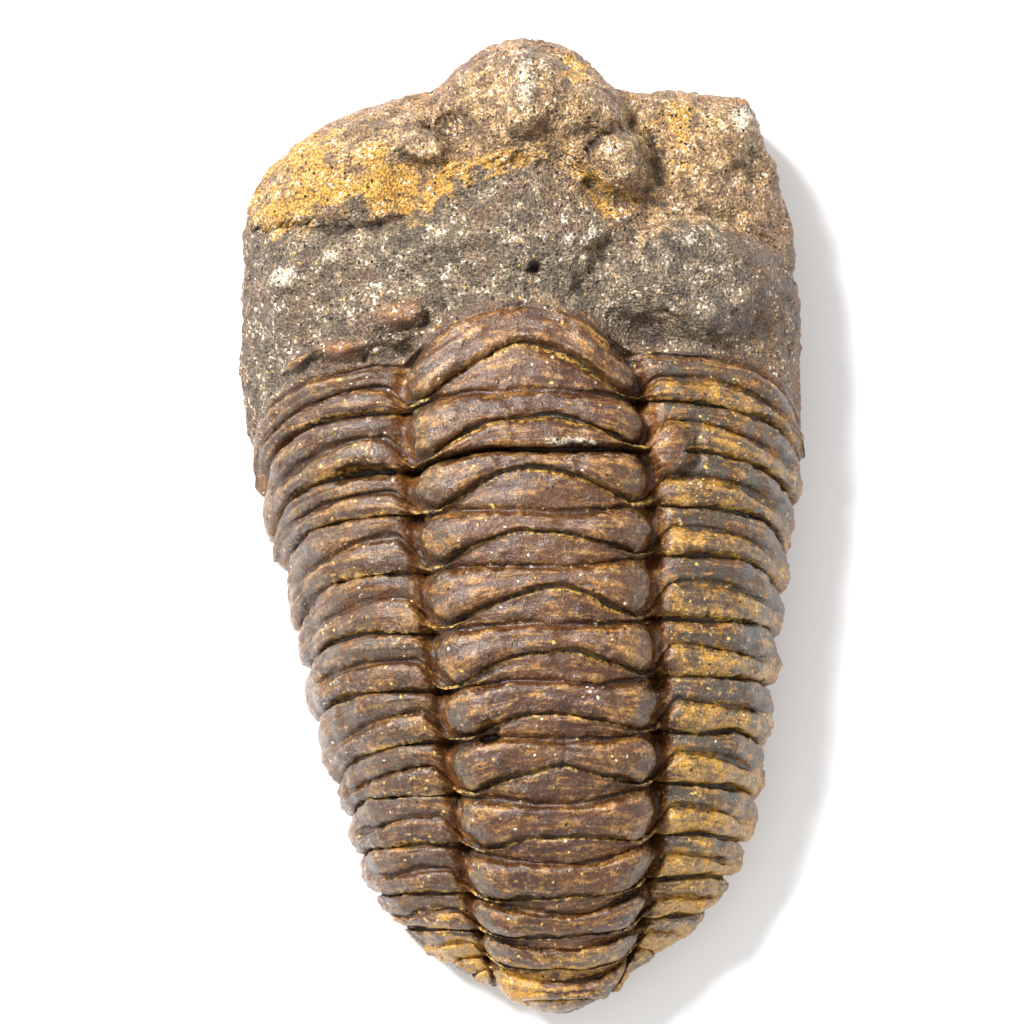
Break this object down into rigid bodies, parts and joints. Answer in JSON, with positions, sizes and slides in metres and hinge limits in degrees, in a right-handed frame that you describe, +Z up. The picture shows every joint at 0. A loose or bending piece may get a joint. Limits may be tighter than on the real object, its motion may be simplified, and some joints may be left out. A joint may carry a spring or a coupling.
{
  "type": "trilobite fossil",
  "caption": "Whole ribbed trilobite fossil in one piece of stone, domed back with a raised ringed axis, lying belly down on a flat base.",
  "frame": {"origin": "on the flat base, under the middle of the outline", "axes": "+Z up through the back, +Y towards the head along the length, +X to the right as seen from above with the head away"},
  "size_m": [0.0437, 0.0745, 0.0208],
  "materials": {
    "fossil_stone": "matt, gritty brown stone with ochre in its grooves, blue grey wear on its high places and a grey sandy head"
  },
  "bodies": {
    "root": {"trilobite_fossil": "fossil_stone"}
  },
  "joints": []
}
